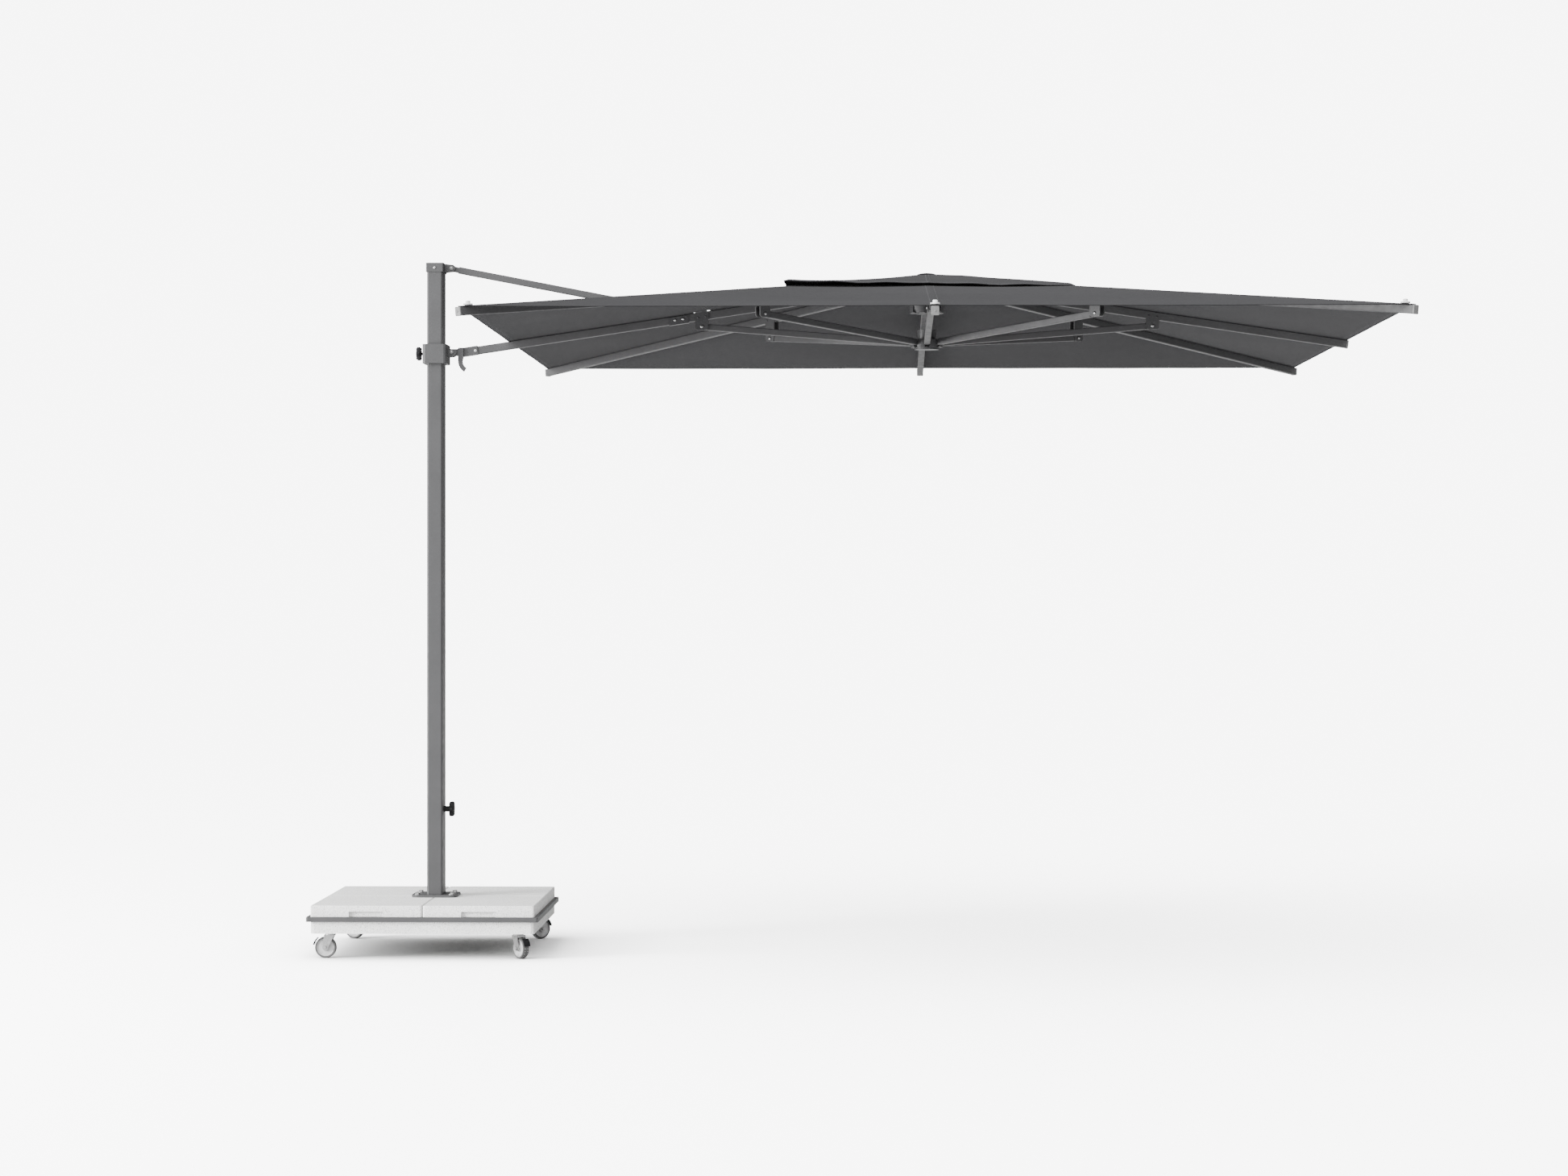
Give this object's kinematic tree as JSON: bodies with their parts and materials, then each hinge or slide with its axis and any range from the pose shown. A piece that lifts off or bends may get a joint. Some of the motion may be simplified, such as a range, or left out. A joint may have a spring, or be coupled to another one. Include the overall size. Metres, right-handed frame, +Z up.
{
  "type": "cantilever parasol",
  "caption": "Square garden parasol hung from a side mast by two folding arms, on a wheeled slab base, with a turning mast and a sliding collar.",
  "frame": {"origin": "on the mast's axis, at the underside of the base's ground plate, 85 mm above the floor", "axes": "+X runs from the mast to the canopy, +Z is up, and the pictured side faces -Y"},
  "size_m": [3.6695, 3.013, 2.4549],
  "materials": {
    "powder_coat": "aluminium tube and castings in satin anthracite powder coat with a fine texture",
    "rim_coat": "welded steel in satin anthracite powder coat",
    "cast_fitting": "aluminium castings and pressed brackets in satin dark powder coat",
    "black_plastic": "matt moulded black",
    "stainless": "brushed stainless and zinc",
    "caster_wheel": "light grey tyre on a plastic disc",
    "slab_concrete": "pale cast stone with a fine speckle",
    "canopy_cloth": "plain-woven charcoal outdoor cloth"
  },
  "bodies": {
    "base": {"ground_plate": "stainless", "base_block": "slab_concrete", "base_rim": "rim_coat", "slab_front_left": "slab_concrete", "slab_front_right": "slab_concrete", "slab_rear_left": "slab_concrete", "slab_rear_right": "slab_concrete", "mast_foot": "rim_coat"},
    "mast": {"mast_tube": "powder_coat", "mast_bush": "black_plastic", "mast_head": "powder_coat", "head_pin": "stainless", "clamp_boss": "black_plastic"},
    "clamp_knob": {"clamp_knob": "black_plastic"},
    "upper_arm": {"upper_arm_tube": "powder_coat", "upper_arm_head_end": "powder_coat", "upper_arm_canopy_end": "powder_coat"},
    "lower_arm": {"handle_block": "powder_coat", "lower_arm_tube": "powder_coat", "splice_channel": "cast_fitting", "load_bracket": "cast_fitting", "load_pin": "stainless", "rib_left": "powder_coat"},
    "collar": {"collar": "powder_coat", "collar_pin": "stainless"},
    "collar_knob": {"collar_knob": "black_plastic"},
    "release_lever": {"release_lever": "cast_fitting"},
    "crown": {"crown": "cast_fitting", "crown_cap": "cast_fitting", "canopy_fabric": "canopy_cloth", "vent_fabric": "canopy_cloth"},
    "strut_left": {"strut_left": "powder_coat"},
    "rib_right": {"rib_right": "powder_coat"},
    "strut_right": {"strut_right": "powder_coat"},
    "rib_front": {"rib_front": "powder_coat"},
    "strut_front": {"strut_front": "powder_coat"},
    "rib_rear": {"rib_rear": "powder_coat"},
    "strut_rear": {"strut_rear": "powder_coat"},
    "rib_front_left": {"rib_front_left": "powder_coat"},
    "strut_front_left": {"strut_front_left": "powder_coat"},
    "rib_front_right": {"rib_front_right": "powder_coat"},
    "strut_front_right": {"strut_front_right": "powder_coat"},
    "rib_rear_left": {"rib_rear_left": "powder_coat"},
    "strut_rear_left": {"strut_rear_left": "powder_coat"},
    "rib_rear_right": {"rib_rear_right": "powder_coat"},
    "strut_rear_right": {"strut_rear_right": "powder_coat"},
    "runner": {"runner": "cast_fitting"},
    "caster_fork_front_left": {"caster_fork_front_left": "stainless"},
    "caster_wheel_front_left": {"caster_wheel_front_left": "caster_wheel"},
    "caster_brake_front_left": {"caster_brake_front_left": "black_plastic"},
    "caster_fork_front_right": {"caster_fork_front_right": "stainless"},
    "caster_wheel_front_right": {"caster_wheel_front_right": "caster_wheel"},
    "caster_brake_front_right": {"caster_brake_front_right": "black_plastic"},
    "caster_fork_rear_left": {"caster_fork_rear_left": "stainless"},
    "caster_wheel_rear_left": {"caster_wheel_rear_left": "caster_wheel"},
    "caster_brake_rear_left": {"caster_brake_rear_left": "black_plastic"},
    "caster_fork_rear_right": {"caster_fork_rear_right": "stainless"},
    "caster_wheel_rear_right": {"caster_wheel_rear_right": "caster_wheel"},
    "caster_brake_rear_right": {"caster_brake_rear_right": "black_plastic"}
  },
  "joints": [
    {"name": "mast_turn", "type": "hinge", "parent": "base", "child": "mast", "pos_m": [0, 0, 0.475], "axis": [0, 0, 1], "continuous": true},
    {"name": "clamp_knob_turn", "type": "hinge", "parent": "mast", "child": "clamp_knob", "pos_m": [0.05, 0, 0.415], "axis": [1, 0, 0], "continuous": true},
    {"name": "upper_arm_fold", "type": "hinge", "parent": "mast", "child": "upper_arm", "pos_m": [0.056, 0, 2.3536], "axis": [0, 1, 0], "range_deg": [0, 70], "deforming": ["canopy_fabric", "vent_fabric"]},
    {"name": "lower_arm_fold", "type": "hinge", "parent": "upper_arm", "child": "lower_arm", "pos_m": [0.954, 0, 2.20365], "axis": [0, -1, 0], "range_deg": [0, 140]},
    {"name": "collar_level", "type": "hinge", "parent": "lower_arm", "child": "collar", "pos_m": [0.056, 0, 2.0537], "axis": [0, 1, 0], "range_deg": [0, 70]},
    {"name": "collar_knob_turn", "type": "hinge", "parent": "collar", "child": "collar_knob", "pos_m": [-0.055, 0, 2.0477], "axis": [1, 0, 0], "continuous": true},
    {"name": "release_lever_turn", "type": "hinge", "parent": "lower_arm", "child": "release_lever", "pos_m": [0.092, -0.02, 2.0597], "axis": [0, -1, 0], "range_deg": [0, 40]},
    {"name": "crown_level", "type": "hinge", "parent": "lower_arm", "child": "crown", "pos_m": [1.714, 0, 2.202], "axis": [0, 1, 0], "range_deg": [0, 70]},
    {"name": "strut_left_fold", "type": "hinge", "parent": "lower_arm", "child": "strut_left", "pos_m": [0.954, 0, 2.1425], "axis": [0, 1, 0], "range_deg": [0, 140]},
    {"name": "rib_right_fold", "type": "hinge", "parent": "crown", "child": "rib_right", "pos_m": [1.804, 0, 2.202], "axis": [0, 1, 0], "range_deg": [0, 70]},
    {"name": "strut_right_fold", "type": "hinge", "parent": "rib_right", "child": "strut_right", "pos_m": [2.564, 0, 2.1425], "axis": [0, -1, 0], "range_deg": [0, 140]},
    {"name": "rib_front_fold", "type": "hinge", "parent": "crown", "child": "rib_front", "pos_m": [1.759, -0.045, 2.202], "axis": [1, 0, 0], "range_deg": [0, 70]},
    {"name": "strut_front_fold", "type": "hinge", "parent": "rib_front", "child": "strut_front", "pos_m": [1.759, -0.805, 2.1425], "axis": [-1, 0, 0], "range_deg": [0, 140]},
    {"name": "rib_rear_fold", "type": "hinge", "parent": "crown", "child": "rib_rear", "pos_m": [1.759, 0.045, 2.202], "axis": [-1, 0, 0], "range_deg": [0, 70]},
    {"name": "strut_rear_fold", "type": "hinge", "parent": "rib_rear", "child": "strut_rear", "pos_m": [1.759, 0.805, 2.1425], "axis": [1, 0, 0], "range_deg": [0, 140]},
    {"name": "rib_front_left_fold", "type": "hinge", "parent": "crown", "child": "rib_front_left", "pos_m": [1.72718, -0.03182, 2.202], "axis": [0.7071, -0.7071, 0], "range_deg": [0, 70]},
    {"name": "strut_front_left_fold", "type": "hinge", "parent": "rib_front_left", "child": "strut_front_left", "pos_m": [1.18978, -0.56922, 2.1425], "axis": [-0.7071, 0.7071, 0], "range_deg": [0, 140]},
    {"name": "rib_front_right_fold", "type": "hinge", "parent": "crown", "child": "rib_front_right", "pos_m": [1.79082, -0.03182, 2.202], "axis": [0.7071, 0.7071, 0], "range_deg": [0, 70]},
    {"name": "strut_front_right_fold", "type": "hinge", "parent": "rib_front_right", "child": "strut_front_right", "pos_m": [2.32822, -0.56922, 2.1425], "axis": [-0.7071, -0.7071, 0], "range_deg": [0, 140]},
    {"name": "rib_rear_left_fold", "type": "hinge", "parent": "crown", "child": "rib_rear_left", "pos_m": [1.72718, 0.03182, 2.202], "axis": [-0.7071, -0.7071, 0], "range_deg": [0, 70]},
    {"name": "strut_rear_left_fold", "type": "hinge", "parent": "rib_rear_left", "child": "strut_rear_left", "pos_m": [1.18978, 0.56922, 2.1425], "axis": [0.7071, 0.7071, 0], "range_deg": [0, 140]},
    {"name": "rib_rear_right_fold", "type": "hinge", "parent": "crown", "child": "rib_rear_right", "pos_m": [1.79082, 0.03182, 2.202], "axis": [-0.7071, 0.7071, 0], "range_deg": [0, 70]},
    {"name": "strut_rear_right_fold", "type": "hinge", "parent": "rib_rear_right", "child": "strut_rear_right", "pos_m": [2.32822, 0.56922, 2.1425], "axis": [0.7071, -0.7071, 0], "range_deg": [0, 140]},
    {"name": "runner_level", "type": "hinge", "parent": "strut_left", "child": "runner", "pos_m": [1.714, 0, 2.083], "axis": [0, -1, 0], "range_deg": [0, 70]},
    {"name": "caster_swivel_front_left", "type": "hinge", "parent": "base", "child": "caster_fork_front_left", "pos_m": [-0.329, -0.329, 0], "axis": [0, 0, 1], "continuous": true},
    {"name": "wheel_roll_front_left", "type": "hinge", "parent": "caster_fork_front_left", "child": "caster_wheel_front_left", "pos_m": [-0.345, -0.329, -0.0475], "axis": [0, -1, 0], "continuous": true},
    {"name": "brake_front_left", "type": "hinge", "parent": "caster_fork_front_left", "child": "caster_brake_front_left", "pos_m": [-0.37148, -0.329, -0.01594], "axis": [0, -1, 0], "range_deg": [0, 4]},
    {"name": "caster_swivel_front_right", "type": "hinge", "parent": "base", "child": "caster_fork_front_right", "pos_m": [0.329, -0.329, 0], "axis": [0, 0, 1], "continuous": true},
    {"name": "wheel_roll_front_right", "type": "hinge", "parent": "caster_fork_front_right", "child": "caster_wheel_front_right", "pos_m": [0.33885, -0.34161, -0.0475], "axis": [0.788, 0.6157, 0], "continuous": true},
    {"name": "brake_front_right", "type": "hinge", "parent": "caster_fork_front_right", "child": "caster_brake_front_right", "pos_m": [0.35515, -0.36248, -0.01594], "axis": [0.788, 0.6157, 0], "range_deg": [0, 4]},
    {"name": "caster_swivel_rear_left", "type": "hinge", "parent": "base", "child": "caster_fork_rear_left", "pos_m": [-0.329, 0.329, 0], "axis": [0, 0, 1], "continuous": true},
    {"name": "wheel_roll_rear_left", "type": "hinge", "parent": "caster_fork_rear_left", "child": "caster_wheel_rear_left", "pos_m": [-0.34403, 0.33447, -0.0475], "axis": [-0.342, -0.9397, 0], "continuous": true},
    {"name": "brake_rear_left", "type": "hinge", "parent": "caster_fork_rear_left", "child": "caster_brake_rear_left", "pos_m": [-0.36892, 0.34353, -0.01594], "axis": [-0.342, -0.9397, 0], "range_deg": [0, 4]},
    {"name": "caster_swivel_rear_right", "type": "hinge", "parent": "base", "child": "caster_fork_rear_right", "pos_m": [0.329, 0.329, 0], "axis": [0, 0, 1], "continuous": true},
    {"name": "wheel_roll_rear_right", "type": "hinge", "parent": "caster_fork_rear_right", "child": "caster_wheel_rear_right", "pos_m": [0.34161, 0.33885, -0.0475], "axis": [-0.6157, 0.788, 0], "continuous": true},
    {"name": "brake_rear_right", "type": "hinge", "parent": "caster_fork_rear_right", "child": "caster_brake_rear_right", "pos_m": [0.36248, 0.35515, -0.01594], "axis": [-0.6157, 0.788, 0], "range_deg": [0, 4]}
  ],
  "couplings": [
    {"joint": "lower_arm_fold", "follows": "upper_arm_fold", "ratio": 2},
    {"joint": "collar_level", "follows": "upper_arm_fold", "ratio": 1},
    {"joint": "crown_level", "follows": "upper_arm_fold", "ratio": 1},
    {"joint": "strut_left_fold", "follows": "upper_arm_fold", "ratio": 2},
    {"joint": "rib_right_fold", "follows": "upper_arm_fold", "ratio": 1},
    {"joint": "strut_right_fold", "follows": "upper_arm_fold", "ratio": 2},
    {"joint": "rib_front_fold", "follows": "upper_arm_fold", "ratio": 1},
    {"joint": "strut_front_fold", "follows": "upper_arm_fold", "ratio": 2},
    {"joint": "rib_rear_fold", "follows": "upper_arm_fold", "ratio": 1},
    {"joint": "strut_rear_fold", "follows": "upper_arm_fold", "ratio": 2},
    {"joint": "rib_front_left_fold", "follows": "upper_arm_fold", "ratio": 1},
    {"joint": "strut_front_left_fold", "follows": "upper_arm_fold", "ratio": 2},
    {"joint": "rib_front_right_fold", "follows": "upper_arm_fold", "ratio": 1},
    {"joint": "strut_front_right_fold", "follows": "upper_arm_fold", "ratio": 2},
    {"joint": "rib_rear_left_fold", "follows": "upper_arm_fold", "ratio": 1},
    {"joint": "strut_rear_left_fold", "follows": "upper_arm_fold", "ratio": 2},
    {"joint": "rib_rear_right_fold", "follows": "upper_arm_fold", "ratio": 1},
    {"joint": "strut_rear_right_fold", "follows": "upper_arm_fold", "ratio": 2},
    {"joint": "runner_level", "follows": "upper_arm_fold", "ratio": 1}
  ]
}
